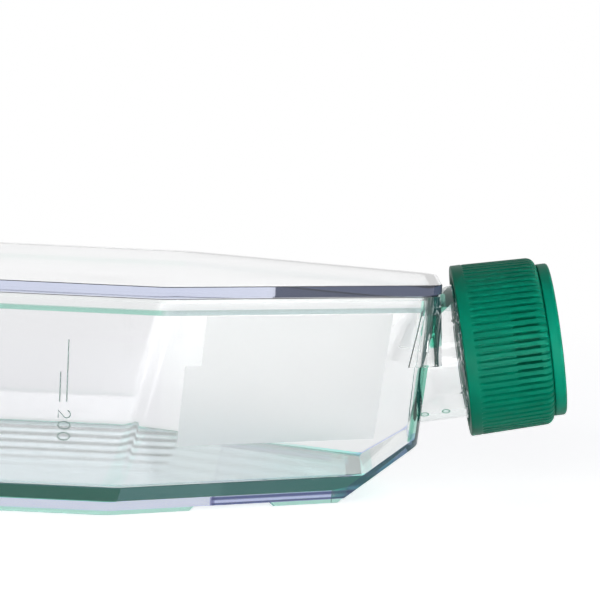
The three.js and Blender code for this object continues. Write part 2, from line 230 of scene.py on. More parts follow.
def object_from(name, verts, faces):
    """An object in the flask's millimetres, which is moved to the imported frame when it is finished."""
    mesh = bpy.data.meshes.new(name)
    mesh.from_pydata(verts, [], faces)
    mesh.update()
    obj = bpy.data.objects.new(name, mesh)
    bpy.context.scene.collection.objects.link(obj)
    return obj


def loft(name, rings):
    """A closed solid through rings with the same number of points, its two ends flat and convex."""
    count = len(rings[0])
    verts = [tuple(point) for ring in rings for point in ring]
    faces = [tuple(reversed(range(count)))]
    for ring in range(len(rings) - 1):
        for i in range(count):
            a = ring * count + i
            b = ring * count + (i + 1) % count
            faces.append((a, b, b + count, a + count))
    last = (len(rings) - 1) * count
    faces.append(tuple(range(last, last + count)))
    return object_from(name, verts, faces)


def side_prism(name, points):
    """A prism with an anticlockwise outline in the XZ plane, running far to both sides along Y."""
    near = [(x, -FAR / 2, z) for x, z in points]
    away = [(x, FAR / 2, z) for x, z in points]
    return loft(name, [away, near])


def turned(name, profile, steps=NECK_STEPS, bump=None):
    """A solid of revolution about the neck's axis from (radius, station) points, both ends on the axis.

    `bump(angle, radius, station)` may give a new radius, for threads and ribs.
    """
    verts = [(0.0, 0.0, profile[0][1])]
    for radius, station in profile[1:-1]:
        for i in range(steps):
            angle = 2 * math.pi * i / steps
            r = bump(angle, radius, station) if bump else radius
            verts.append((r * math.cos(angle), r * math.sin(angle), station))
    verts.append((0.0, 0.0, profile[-1][1]))
    top = len(verts) - 1
    rows = len(profile) - 2
    faces = []
    for i in range(steps):
        j = (i + 1) % steps
        faces.append((0, 1 + j, 1 + i))
        for row in range(rows - 1):
            a, b = 1 + row * steps + i, 1 + row * steps + j
            faces.append((a, b, b + steps, a + steps))
        last = 1 + (rows - 1) * steps
        faces.append((last + i, last + j, top))
    obj = object_from(name, verts, faces)
    obj.data.transform(NECK_FRAME)
    return obj


def turned_ring(name, profile, steps, bump=None):
    """A closed ring of revolution from a closed outline of (radius, station) points."""
    rows = len(profile)
    verts = []
    for radius, station in profile:
        for i in range(steps):
            angle = 2 * math.pi * i / steps
            r = bump(angle, radius, station) if bump else radius
            verts.append((r * math.cos(angle), r * math.sin(angle), station))
    faces = []
    for row in range(rows):
        below = ((row + 1) % rows) * steps
        for i in range(steps):
            j = (i + 1) % steps
            faces.append((row * steps + i, row * steps + j, below + j, below + i))
    obj = object_from(name, verts, faces)
    obj.data.transform(NECK_FRAME)
    return obj


def combine(base, operation, *others):
    """Joins, cuts or intersects `base` with the others, which are used up."""
    for other in others:
        modifier = base.modifiers.new("combine", "BOOLEAN")
        modifier.operation = operation
        modifier.solver = "MANIFOLD"
        modifier.object = other
        apply_modifiers(base)
        bpy.data.objects.remove(other)
    return base


def apply_modifiers(obj):
    """Makes the result of an object's modifiers its own mesh."""
    bpy.context.view_layer.update()
    graph = bpy.context.evaluated_depsgraph_get()
    mesh = bpy.data.meshes.new_from_object(obj.evaluated_get(graph))
    obj.modifiers.clear()
    obj.data = mesh


def finish_mesh(obj, sharp_deg=32.0, rounding=0.0):
    """Rounds the sharp edges a little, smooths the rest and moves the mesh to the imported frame."""
    shape = bmesh.new()
    shape.from_mesh(obj.data)
    bmesh.ops.remove_doubles(shape, verts=shape.verts, dist=0.002)
    bmesh.ops.recalc_face_normals(shape, faces=shape.faces)
    shape.to_mesh(obj.data)
    shape.free()
    if rounding:
        bevel = obj.modifiers.new("round", "BEVEL")
        bevel.width = rounding
        bevel.segments = 2
        bevel.limit_method = "ANGLE"
        bevel.angle_limit = math.radians(sharp_deg)
        bevel.use_clamp_overlap = True
        apply_modifiers(obj)
    obj.data.transform(TO_WORLD)
    smooth_faces(obj.data, sharp_deg)
    weigh_normals(obj)
    return obj


def finish_turned(obj, sharp_deg):
    """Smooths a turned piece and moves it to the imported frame."""
    obj.data.transform(TO_WORLD)
    smooth_faces(obj.data, sharp_deg)
    return obj


def smooth_faces(mesh, sharp_deg):
    """Faces the mesh outwards and smooths it, apart from edges that turn by more than `sharp_deg`."""
    shape = bmesh.new()
    shape.from_mesh(mesh)
    bmesh.ops.recalc_face_normals(shape, faces=shape.faces)
    for face in shape.faces:
        face.smooth = True
    for edge in shape.edges:
        edge.smooth = edge.calc_face_angle(0) < math.radians(sharp_deg)
    shape.to_mesh(mesh)
    shape.free()


def weigh_normals(obj):
    """Flat faces keep their own normals, so that they reflect and refract as true planes."""
    weights = obj.modifiers.new("flat_faces", "WEIGHTED_NORMAL")
    weights.mode = "FACE_AREA"
    weights.weight = 100
    weights.keep_sharp = True
    apply_modifiers(obj)


def arc(centre_r, centre_s, radius, start_deg, end_deg, steps):
    """Points of a profile's round corner, angles counted from the outward radius towards the cap's end."""
    points = []
    for i in range(steps + 1):
        angle = math.radians(start_deg + (end_deg - start_deg) * i / steps)
        points.append((centre_r + radius * math.cos(angle), centre_s + radius * math.sin(angle)))
    return points


# ---- Plan outlines -------------------------------------------------------------------------------------

def plan_at(z):
    """The tub's plan at a height, between the plan at its foot and the one under its rim."""
    share = z / RIM_BOTTOM
    return {key: FOOT_PLAN[key] + (TOP_PLAN[key] - FOOT_PLAN[key]) * share for key in TOP_PLAN}


def offset_corners(corners, offset):
    """The corners moved outwards, keeping every side parallel."""
    count = len(corners)
    sides = []
    for i, (a, _) in enumerate(corners):
        b = corners[(i + 1) % count][0]
        along = (b - a).normalized()
        out = Vector((along.y, -along.x))
        sides.append((out, out.dot(a) + offset))
    moved = []
    for i, (_, kind) in enumerate(corners):
        (n1, d1), (n2, d2) = sides[i - 1], sides[i]
        cross = n1.x * n2.y - n1.y * n2.x
        moved.append((Vector(((d1 * n2.y - d2 * n1.y) / cross, (d2 * n1.x - d1 * n2.x) / cross)), kind))
    return moved


def outline(plan, offset, z):
    """The tub's outline with round corners at height z, offset outwards from the wall's outside."""
    near = [(Vector((BACK_X, -plan["half_width"])), "back"),
            (Vector((plan["bend_x"], -plan["half_width"])), "bend"),
            (Vector((plan["front_x"], -plan["front_half"])), "front")]
    opposite = [(Vector((corner.x, -corner.y)), kind) for corner, kind in reversed(near)]
    corners = offset_corners(near + opposite, offset)
    points = []
    for i, (corner, kind) in enumerate(corners):
        before = corners[i - 1][0]
        after = corners[(i + 1) % len(corners)][0]
        radius = max(CORNER_RADIUS[kind] + offset, 0.5)
        angle_in = math.atan2(corner.y - before.y, corner.x - before.x)
        turn = (math.atan2(after.y - corner.y, after.x - corner.x) - angle_in) % (2 * math.pi)
        setback = radius * math.tan(turn / 2)
        start = corner - setback * Vector((math.cos(angle_in), math.sin(angle_in)))
        centre = start + radius * Vector((-math.sin(angle_in), math.cos(angle_in)))
        steps = CORNER_STEPS[kind]
        for step in range(steps + 1):
            angle = angle_in + turn * step / steps
            points.append((centre.x + radius * math.sin(angle), centre.y - radius * math.cos(angle), z))
    return points


def rim_prism(name, offset, low, high):
    """A prism with the rim's outline, offset outwards, between two heights."""
    return loft(name, [outline(TOP_PLAN, offset, low), outline(TOP_PLAN, offset, high)])


# ---- Tub and neck --------------------------------------------------------------------------------------

def below_ramp(name, thickness):
    """All that lies below the ramp's underside, or below a face `thickness` above it."""
    lift = thickness / math.cos(RAMP_ANGLE)
    run = 60.0
    rise = run * math.tan(RAMP_ANGLE)
    return side_prism(name, [(RAMP_START_X - run, lift - rise), (RAMP_START_X + run, lift - rise),
                             (RAMP_START_X + run, lift + rise)])


def feet():
    """Two strip feet around the floor's underside, with slanting ends."""
    outer = loft("feet", [outline(plan_at(0), 0, 0), outline(plan_at(FLOOR_UNDERSIDE), 0, FLOOR_UNDERSIDE)])
    inner = loft("feet_inside", [outline(plan_at(0), -FOOT_WIDTH, -FOOT_HEIGHT),
                                 outline(plan_at(0), -FOOT_WIDTH, FLOOR_UNDERSIDE + 1)])
    spans = []
    for start, end in (REAR_FOOT, FRONT_FOOT):
        spans.append(side_prism("foot_span", [
            (start, 0), (end, 0), (end + FOOT_HEIGHT, FOOT_HEIGHT), (end + FOOT_HEIGHT, 2 * FOOT_HEIGHT),
            (start - FOOT_HEIGHT, 2 * FOOT_HEIGHT), (start - FOOT_HEIGHT, FOOT_HEIGHT)]))
    combine(outer, "DIFFERENCE", inner)
    return combine(outer, "INTERSECT", combine(spans[0], "UNION", spans[1]))


def corner_skirts():
    """The two short skirts that hang from the rim at the front corners."""
    lower = dict(TOP_PLAN, front_x=TOP_PLAN["front_x"] + SKIRT_LEAN)

    def leaning(name, offset, extra):
        return loft(name, [outline(lower, offset, SKIRT_BOTTOM - extra),
                           outline(TOP_PLAN, offset, RIM_BOTTOM + BEAD_HEIGHT + extra)])

    ring = combine(leaning("skirts", BEAD_OVERHANG, 0), "DIFFERENCE",
                   leaning("skirts_inside", BEAD_OVERHANG - SKIRT_THICKNESS, 0.01))
    top = RIM_BOTTOM + BEAD_HEIGHT / 2
    return combine(ring, "INTERSECT", side_prism("skirt_span", [
        (SKIRT_REAR_BOTTOM_X, SKIRT_BOTTOM), (FAR, SKIRT_BOTTOM), (FAR, top),
        (SKIRT_REAR_TOP_X, top), (SKIRT_REAR_TOP_X, SKIRT_SLANT_TOP)]))


def tub_inside():
    """The space inside the tub, with a fillet round the floor and the ramp left standing."""
    rings = []
    steps = 6
    for step in range(steps + 1):
        angle = step / steps * math.pi / 2
        z = FLOOR_TOP + FLOOR_FILLET * (1 - math.cos(angle))
        rings.append(outline(plan_at(z), -WALL - FLOOR_FILLET * (1 - math.sin(angle)), z))
    rings += [outline(TOP_PLAN, -WALL, RIM_BOTTOM), outline(TOP_PLAN, -WALL, RIM_TOP + 1)]
    return combine(loft("inside", rings), "DIFFERENCE", below_ramp("ramp_inside", RAMP_THICKNESS))


def hollow_under_floor():
    """The hollow under the floor, between the feet, which ends short of the ramp."""
    depth = FLOOR_UNDERSIDE + 1
    space = loft("hollow", [outline(plan_at(0), -WALL, FLOOR_UNDERSIDE - depth),
                            outline(plan_at(FLOOR_UNDERSIDE), -WALL, FLOOR_UNDERSIDE)])
    front = RAMP_START_X - FRONT_SKIRT_WIDTH
    return combine(space, "INTERSECT", side_prism("hollow_span", [
        (-FAR, -depth), (front, -depth), (front, FAR), (-FAR, FAR)]))


def neck_slope_cut(name, drop):
    """All that lies above the neck's slanting root, or above a face `drop` below it."""
    knee_x = NECK_CUT_X + drop * math.tan(math.atan(NECK_CUT_RISE) / 2)
    knee_z = RIM_TOP - drop
    run = 6.0
    left = TOP_PLAN["bend_x"]
    return side_prism(name, [(left, knee_z), (knee_x, knee_z), (knee_x + run, knee_z + run * NECK_CUT_RISE),
                             (knee_x + run, FAR), (left, FAR)])


def clamped(value):
    """The value, kept between 0 and 1."""
    return min(1.0, max(0.0, value))


def thread_height(angle, station, start, turns):
    """How far a helical ridge stands out of its wall here, from 0 to 1."""
    best = 0.0
    for turn in range(int(turns) + 2):
        along = angle / (2 * math.pi) + turn
        if 0 <= along <= turns:
            distance = abs(station - start - THREAD_LEAD * along)
            flank = (THREAD_ROOT_WIDTH / 2 - distance) / ((THREAD_ROOT_WIDTH - THREAD_CREST_WIDTH) / 2)
            run_out = min(1.0, along * 4, (turns - along) * 4)
            best = max(best, clamped(flank) * run_out)
    return best


def stations(start, end, step):
    """Evenly spaced places from start to end, about `step` apart."""
    count = max(1, round((end - start) / step))
    return [start + (end - start) * i / count for i in range(count + 1)]


def neck_tube():
    """The neck with its collar, thread and slanting root, from inside the front wall to its mouth."""
    start, end, radius = COLLAR
    slope = radius - NECK_RADIUS
    thread_to = NECK_END - 1.2
    profile = [(0, -NECK_RUN_IN), (NECK_RADIUS, -NECK_RUN_IN), (NECK_RADIUS, start - slope / 2)]
    profile += [(radius, start + 0.1), (radius, end), (NECK_RADIUS, end + slope)]
    profile += [(NECK_RADIUS, s) for s in stations(end + slope + 0.4, thread_to, 0.3)]
    profile += arc(NECK_RADIUS - MOUTH_ROUND, NECK_END - MOUTH_ROUND, MOUTH_ROUND, 0, 90, 4)
    profile += [(0, NECK_END)]

    def ridge(angle, r, station):
        if r != NECK_RADIUS or not end + slope < station < thread_to:
            return r
        return r + THREAD_DEPTH * thread_height(angle, station, NECK_THREAD_START, NECK_THREAD_TURNS)

    tube = turned("neck", profile, bump=ridge)
    combine(tube, "DIFFERENCE", neck_slope_cut("neck_slope", 0))
    height = 2 * RIM_TOP
    return combine(tube, "INTERSECT", side_prism("ahead", [
        (plan_at(0)["front_x"] - WALL / 2, 0), (FAR, 0), (FAR, height),
        (plan_at(height)["front_x"] - WALL / 2, height)]))


def neck_bore():
    """The neck's bore, which leaves a crown of plastic under the slanting root."""
    radius = NECK_RADIUS - NECK_WALL
    bore = turned("bore", [(0, -NECK_RUN_IN - 1), (radius, -NECK_RUN_IN - 1), (radius, NECK_END + 1),
                           (0, NECK_END + 1)])
    return combine(bore, "DIFFERENCE", neck_slope_cut("bore_slope", NECK_CROWN_WALL))


def make_tub():
    """The tub, moulded as one with its bead, rim, feet, skirts and neck."""
    tub = loft("flask_tub", [outline(plan_at(FOOT_HEIGHT), 0, FOOT_HEIGHT), outline(TOP_PLAN, 0, RIM_BOTTOM),
                             outline(TOP_PLAN, 0, RIM_TOP)])
    combine(tub, "UNION", rim_prism("bead", BEAD_OVERHANG, RIM_BOTTOM, RIM_BOTTOM + BEAD_HEIGHT),
            rim_prism("rim", RIM_OVERHANG, RIM_BOTTOM, RIM_TOP), feet())
    combine(tub, "DIFFERENCE", below_ramp("ramp", 0))
    combine(tub, "UNION", corner_skirts(), neck_tube())
    combine(tub, "DIFFERENCE", tub_inside(), neck_bore(), hollow_under_floor())
    return finish_mesh(tub, rounding=EDGE_ROUND)


def make_top_plate():
    """The welded plate, with its land and the tongue inside the rim."""
    rings = [outline(TOP_PLAN, BEAD_OVERHANG, PLATE_BOTTOM)]
    steps = 3
    for step in range(steps + 1):
        angle = step / steps * math.pi / 2
        inset = PLATE_EDGE_ROUND * (1 - math.cos(angle))
        below_top = PLATE_EDGE_ROUND * (1 - math.sin(angle))
        rings.append(outline(TOP_PLAN, BEAD_OVERHANG - inset, PLATE_TOP - below_top))
    plate = loft("flask_top", rings)
    tongue_out = -WALL - TONGUE_CLEARANCE
    tongue_bottom = RIM_TOP - TONGUE_DEPTH
    into_plate = PLATE_BOTTOM + TOP_PLATE_THICKNESS / 4
    tongue = rim_prism("tongue", tongue_out, tongue_bottom, into_plate)
    tongue_inside = rim_prism("tongue_inside", tongue_out - TONGUE_WIDTH, tongue_bottom - 1, RIM_TOP)
    combine(tongue, "DIFFERENCE", tongue_inside)
    land = rim_prism("land", BEAD_OVERHANG - WELD_LAND_INSET, RIM_TOP, into_plate)
    combine(plate, "UNION", land, tongue)
    return finish_mesh(plate)


# ---- Volume marks --------------------------------------------------------------------------------------

def wall_ribbon(path, closed):
    """A thin raised line along (X, Z) points on the near straight wall."""
    points = [Vector(point) for point in path]
    count = len(points)
    rings = []
    for i, point in enumerate(points):
        before = points[i - 1] if closed or i else point
        after = points[(i + 1) % count] if closed or i < count - 1 else point
        along = (after - before).normalized()
        side = Vector((-along.y, along.x)) * MARK_WIDTH / 2
        left, right = point - side, point + side
        low, high = MARK_GAP, MARK_GAP + MARK_HEIGHT
        ring = []
        for lift, corner in ((low, left), (low, right), (high, right), (high, left)):
            ring.append((corner.x, -plan_at(corner.y)["half_width"] - lift, corner.y))
        rings.append(ring)
    if closed:
        rings.append(rings[0])
    return loft("mark", rings)


def digit_path(digit):
    """The middle line of a digit one unit high, as (across, up) points, and whether it closes."""
    if digit == "0":
        return [(0.33 + 0.31 * math.cos(i * math.pi / 12), 0.5 + 0.5 * math.sin(i * math.pi / 12))
                for i in range(24)], True
    bow = [(0.33 + 0.31 * math.cos(math.radians(a)), 0.69 + 0.31 * math.sin(math.radians(a)))
           for a in range(170, -46, -15)]
    return bow + [(0.02, 0.0), (0.66, 0.0)], False


def make_volume_marks():
    """A plain volume number that reads downwards, with the two lines above it."""
    size = MARK_RIGHT - MARK_LEFT
    pitch = (MARK_TOP - MARK_BOTTOM) / len(MARK_NUMBER)
    marks = []
    for i, digit in enumerate(MARK_NUMBER):
        path, closed = digit_path(digit)
        top = MARK_TOP - i * pitch
        points = [(MARK_LEFT + up * size, top - across * size) for across, up in path]
        marks.append(wall_ribbon(points, closed))
    for x, bottom, top in MARK_LINES:
        marks.append(wall_ribbon([(x, bottom), (x, top)], False))
    joined = bmesh.new()
    for mark in marks:
        joined.from_mesh(mark.data)
        bpy.data.objects.remove(mark)
    bmesh.ops.remove_doubles(joined, verts=joined.verts, dist=0.001)
    mesh = bpy.data.meshes.new("volume_marks")
    joined.to_mesh(mesh)
    joined.free()
    obj = bpy.data.objects.new("volume_marks", mesh)
    bpy.context.scene.collection.objects.link(obj)
    return finish_mesh(obj)


# ---- Cap -----------------------------------------------------------------------------------------------

def make_cap_shell():
    """The cap's ring-shaped section turned about its axis, with ribs outside and the thread inside."""
    shoulder_centre = (CAP_TOP_RADIUS - CAP_SHOULDER, CAP_LENGTH - CAP_SHOULDER)
    profile = [(CAP_BORE + 0.4, 0.15), (CAP_BORE + 0.6, 0.0), (CAP_RADIUS - 0.35, 0.0)]
    profile += arc(CAP_RADIUS - 0.35, 0.35, 0.35, -60, 0, 3)
    profile += [(CAP_RADIUS, CAP_BAND - 0.25), (CAP_RADIUS - 0.04, CAP_BAND - 0.08)]
    rib_from = CAP_BAND + 0.05
    rib_to = CAP_LENGTH - CAP_SHOULDER
    taper = (CAP_RADIUS - CAP_TOP_RADIUS) / (rib_to - rib_from)
    profile += [(CAP_RADIUS - 0.08 - taper * (s - rib_from), s) for s in stations(rib_from, rib_to, 0.5)]
    profile += arc(*shoulder_centre, CAP_SHOULDER - 0.08, 10, 90, 9)
    profile += [(CAP_HOLE + 0.2, CAP_LENGTH - 0.08), (CAP_HOLE, CAP_LENGTH - 0.3),
                (CAP_HOLE, CAP_TOP_INSIDE + 0.1), (CAP_HOLE + 0.1, CAP_TOP_INSIDE)]
    profile += [(CAP_BORE, CAP_TOP_INSIDE)]
    profile += [(CAP_BORE, s) for s in reversed(stations(1.2, CAP_TOP_INSIDE - 1.0, 0.5))]
    thread_start = NECK_THREAD_START - (THREAD_ROOT_WIDTH + THREAD_CREST_WIDTH) / 2 - THREAD_FLANK_GAP

    def ribs_and_thread(angle, radius, station):
        if radius == CAP_BORE:
            return radius - THREAD_DEPTH * thread_height(angle, station, thread_start, CAP_THREAD_TURNS)
        if station < rib_from or radius < shoulder_centre[0] + 0.3:
            return radius
        across = abs((angle * RIB_COUNT / (2 * math.pi)) % 1.0 - 0.5)
        groove = clamped((GROOVE_HALF_WIDTH - across) / GROOVE_FLANK)
        groove = groove * groove * (3 - 2 * groove)
        fade_in = min(1.0, (station - rib_from) / 0.5)
        fade_out = clamped((radius - shoulder_centre[0] - 0.3) / 0.8)
        vent = clamped((station - VENT_SLOT[0]) / 0.4) * clamped((VENT_SLOT[1] - station) / 0.4)
        depth = RIB_DEPTH * (GROOVE_DEPTH + VENT_SLOT_DEPTH * vent * (across < 0.15))
        crown = RIB_CROWN * (1 - ((across - 0.35) / 0.15) ** 2) if across > 0.2 else 0.0
        return radius - (depth * groove - crown) * fade_in * fade_out

    shell = turned_ring("screw_cap", list(reversed(profile)), RIB_COUNT * 14, ribs_and_thread)
    return finish_turned(shell, 50)


def make_cap_disc():
    """The disc that snaps in the cap's end, with its vent holes."""
    seat = CAP_LENGTH + PIECE_GAP
    top = seat + DISC_HEIGHT
    stem = CAP_HOLE - PIECE_GAP
    lip = CAP_LENGTH + DISC_LIP_GAP
    profile = [(0, CAP_TOP_INSIDE), (stem - 0.2, CAP_TOP_INSIDE), (stem, CAP_TOP_INSIDE + 0.2)]
    profile += [(stem, seat), (DISC_RADIUS - 1.5, seat), (DISC_RADIUS - 1.3, lip), (DISC_RADIUS - 0.3, lip)]
    profile += [(DISC_RADIUS - 0.05, lip + 0.15), (DISC_RADIUS, lip + 0.4)]
    profile += arc(DISC_RADIUS - DISC_ROUND, top - DISC_ROUND, DISC_ROUND, 0, 90, 7)
    profile += [(DISC_RADIUS - 2.2, top), (DISC_RADIUS - 2.5, top - 0.25)]
    profile += [(DISC_RADIUS - 5, top - DISC_DISH), (0, top - DISC_DISH)]
    disc = turned("cap_insert", profile, steps=180)
    for vent in range(VENT_COUNT):
        low, high = CAP_TOP_INSIDE - 1, top + 1
        hole = turned("vent", [(0, low), (VENT_RADIUS, low), (VENT_RADIUS, high), (0, high)], steps=48)
        angle = 2 * math.pi * vent / VENT_COUNT
        move = Matrix.Translation((VENT_CIRCLE * math.cos(angle), VENT_CIRCLE * math.sin(angle), 0))
        hole.data.transform(NECK_FRAME @ move @ NECK_FRAME.inverted())
        combine(disc, "DIFFERENCE", hole)
    return finish_turned(disc, 50)


def make_seal_ring():
    """The ring that seals on the neck's mouth."""
    low, high = SEAL_BOTTOM, SEAL_BOTTOM + SEAL_THICKNESS
    profile = [(SEAL_INNER_RADIUS + 0.2, low), (INNER_RADIUS - 0.2, low), (INNER_RADIUS, low + 0.2),
               (INNER_RADIUS, high - 0.2), (INNER_RADIUS - 0.2, high), (SEAL_INNER_RADIUS + 0.2, high),
               (SEAL_INNER_RADIUS, high - 0.2), (SEAL_INNER_RADIUS, low + 0.2)]
    return finish_turned(turned_ring("gasket", list(reversed(profile)), 120), 40)


def make_membrane():
    """The filter film under the vent."""
    low, high = MEMBRANE_BOTTOM, MEMBRANE_BOTTOM + MEMBRANE_THICKNESS
    edge = 0.05
    profile = [(0, low), (INNER_RADIUS - edge, low), (INNER_RADIUS, low + edge), (INNER_RADIUS, high - edge),
               (INNER_RADIUS - edge, high), (0, high)]
    return finish_turned(turned("filter_film", profile, steps=120), 40)


# ---- Node trees ----------------------------------------------------------------------------------------

class Graph:
    """A node tree, with short calls for the sums, masks and colours that the materials are made of."""

    def __init__(self, tree):
        self.nodes = tree.nodes
        self.links = tree.links

    def new(self, kind):
        return self.nodes.new("ShaderNode" + kind)

    def feed(self, socket, value):
        """Gives a socket a plain number, a colour of three numbers or another socket's output."""
        if isinstance(value, (int, float)):
            socket.default_value = value
        elif isinstance(value, tuple):
            socket.default_value = (*value, 1)
        else:
            self.links.new(value, socket)

    def math(self, operation, first, second):
        node = self.new("Math")
        node.operation = operation
        self.feed(node.inputs[0], first)
        self.feed(node.inputs[1], second)
        return node.outputs[0]

    def ramp(self, value, low, high):
        """0 below `low`, 1 above `high`, smooth between."""
        node = self.new("MapRange")
        node.interpolation_type = "SMOOTHSTEP"
        self.feed(node.inputs["From Min"], low)
        self.feed(node.inputs["From Max"], high)
        self.feed(node.inputs["Value"], value)
        return node.outputs["Result"]

    def between(self, value, low, high, soft):
        """1 where the value lies between two bounds and 0 outside them, with soft edges."""
        above = self.ramp(value, low - soft / 2, low + soft / 2)
        beyond = self.ramp(value, high - soft / 2, high + soft / 2)
        return self.math("SUBTRACT", above, beyond)

    def all_of(self, *masks):
        product = masks[0]
        for mask in masks[1:]:
            product = self.math("MULTIPLY", product, mask)
        return product

    def weighed(self, values, weights, constant):
        """The weighed sum of some sockets plus a constant."""
        total = constant
        for value, weight in zip(values, weights):
            total = self.math("ADD", self.math("MULTIPLY", value, weight), total)
        return total

    def mixed(self, blend_type, mask, first, second):
        node = self.new("Mix")
        node.data_type = "RGBA"
        node.blend_type = blend_type
        self.feed(node.inputs["Factor"], mask)
        self.feed(node.inputs["A"], first)
        self.feed(node.inputs["B"], second)
        return node.outputs["Result"]

    def flask_place(self):
        """Sockets with the shaded point's X, Y and Z in the flask's own millimetres."""
        scaled = self.new("VectorMath")
        scaled.operation = "MULTIPLY_ADD"
        scaled.inputs[1].default_value = (1 / MM, 1 / MM, 1 / MM)
        scaled.inputs[2].default_value = (-ORIGIN_X, 0, 0)
        self.links.new(self.new("TexCoord").outputs["Object"], scaled.inputs[0])
        split = self.new("SeparateXYZ")
        self.links.new(scaled.outputs["Vector"], split.inputs[0])
        return split.outputs["X"], split.outputs["Y"], split.outputs["Z"]

    def seen(self):
        """1 for what the camera sees itself, in a gloss or through clear plastic, and 0 for its light."""
        path = self.new("LightPath").outputs
        clear = self.math("MAXIMUM", path["Is Glossy Ray"], path["Is Transmission Ray"])
        return self.math("MAXIMUM", path["Is Camera Ray"], clear)

    def noise_bump(self, scale, strength, distance):
        """A bump node fed with fine noise."""
        noise = self.new("TexNoise")
        noise.inputs["Scale"].default_value = scale
        self.links.new(self.new("TexCoord").outputs["Object"], noise.inputs["Vector"])
        bump = self.new("Bump")
        bump.inputs["Strength"].default_value = strength
        bump.inputs["Distance"].default_value = distance
        self.links.new(noise.outputs["Fac"], bump.inputs["Height"])
        return bump


def new_material(name):
    """A material, its graph and its Principled shader."""
    material = bpy.data.materials.new(name)
    material.use_nodes = True
    graph = Graph(material.node_tree)
    return material, graph, graph.nodes["Principled BSDF"]


# ---- Clear plastic -------------------------------------------------------------------------------------

def clear_plastic(name, absorbed_color, density, painted_glow_color, surface_color):
    """Clear polystyrene: nearly colourless through a wall, coloured where light runs along a plate.

    The colour given for the volume's glow is painted light: the plastic gives it off in each metre, in place
    of the faint light that long paths inside it pick up.
    """
    material, graph, shader = new_material(name)
    shader.inputs["Base Color"].default_value = (*surface_color, 1)
    shader.inputs["Transmission Weight"].default_value = 1.0
    shader.inputs["Roughness"].default_value = CLEAR_ROUGHNESS
    shader.inputs["IOR"].default_value = 1.55
    absorb = graph.new("VolumeAbsorption")
    absorb.inputs["Color"].default_value = (*absorbed_color, 1)
    absorb.inputs["Density"].default_value = density
    # Painted glow: the volume gives off light of its own, in place of light gathered along long paths.
    painted_glow = graph.new("Emission")
    painted_glow.inputs["Color"].default_value = (*painted_glow_color, 1)
    painted_glow.inputs["Strength"].default_value = 1.0
    both = graph.new("AddShader")
    graph.links.new(absorb.outputs[0], both.inputs[0])
    graph.links.new(painted_glow.outputs[0], both.inputs[1])
    graph.links.new(both.outputs[0], graph.nodes["Material Output"].inputs["Volume"])
    bump = graph.noise_bump(18.0, 0.02, MM)
    graph.links.new(bump.outputs["Normal"], shader.inputs["Normal"])
    return material, graph, shader


def shoulder_plane():
    """Weights and constant of the near shoulder's outer face: 0 on it, negative inside the flask."""
    top, foot = plan_at(RIM_BOTTOM), plan_at(0)
    bend = Vector((top["bend_x"], -top["half_width"], RIM_BOTTOM))
    front = Vector((top["front_x"], -top["front_half"], RIM_BOTTOM))
    middle_x = (foot["bend_x"] + foot["front_x"]) / 2
    middle_y = -(foot["half_width"] + foot["front_half"]) / 2
    below = Vector((middle_x, middle_y, 0))
    normal = (front - bend).cross(below - bend).normalized()
    if normal.y > 0:
        normal = -normal
    return tuple(normal), -normal.dot(bend)


def far_wall_distances(graph, place):
    """How far the place is from the inside of the straight and the slanted wall on the far side."""
    weights, constant = shoulder_plane()
    shoulder = graph.weighed(place, (-weights[0], weights[1], -weights[2]), -constant - WALL)
    straight = graph.weighed(place, (0, -1, 0), plan_at(FLOOR_TOP)["half_width"] - WALL)
    return straight, shoulder


def panel_mask(graph, place):
    """1 on the frosted writing panel: the near shoulder's outer face, between slanting ends."""
    z = place[2]
    on_face = graph.between(graph.weighed(place, *shoulder_plane()), -WALL / 2, WALL / 2, 0.1)
    notch = graph.math("MULTIPLY", graph.ramp(z, PANEL_STEP_Z, PANEL_STEP_Z + 0.1), PANEL_STEP)
    rear_end = graph.weighed(place, (1, 0, -PANEL_REAR[1]), -PANEL_REAR[0])
    past_rear = graph.ramp(graph.math("SUBTRACT", rear_end, notch), -0.05, 0.05)
    before_front = graph.ramp(graph.weighed(place, (-1, 0, PANEL_FRONT[1]), PANEL_FRONT[0]), -0.05, 0.05)
    height = graph.between(z, PANEL_BOTTOM, PANEL_TOP, 0.1)
    return graph.all_of(on_face, past_rear, before_front, height)


def oval_mask(graph, place, centre, inner):
    """1 on a small oval mark on the near side of the neck, outside an inner oval."""
    reach = 0
    for value, middle, size in zip((place[0], place[2]), centre, OVAL_SIZE):
        share = graph.math("DIVIDE", graph.math("SUBTRACT", value, middle), size)
        reach = graph.math("ADD", graph.math("MULTIPLY", share, share), reach)
    near_side = graph.between(place[1], -FAR, -NECK_RADIUS / 4, 0.1)
    return graph.all_of(graph.between(reach, inner, 1.0, 0.2), near_side)


def rear_and_front(graph, x):
    """Masks of what lies behind and ahead of the bend in the walls."""
    bend = -TOP_PLAN["bend_x"]
    rear = graph.ramp(graph.math("MULTIPLY", x, -1), bend - 1, bend + 1)
    return rear, graph.math("SUBTRACT", 1, rear)


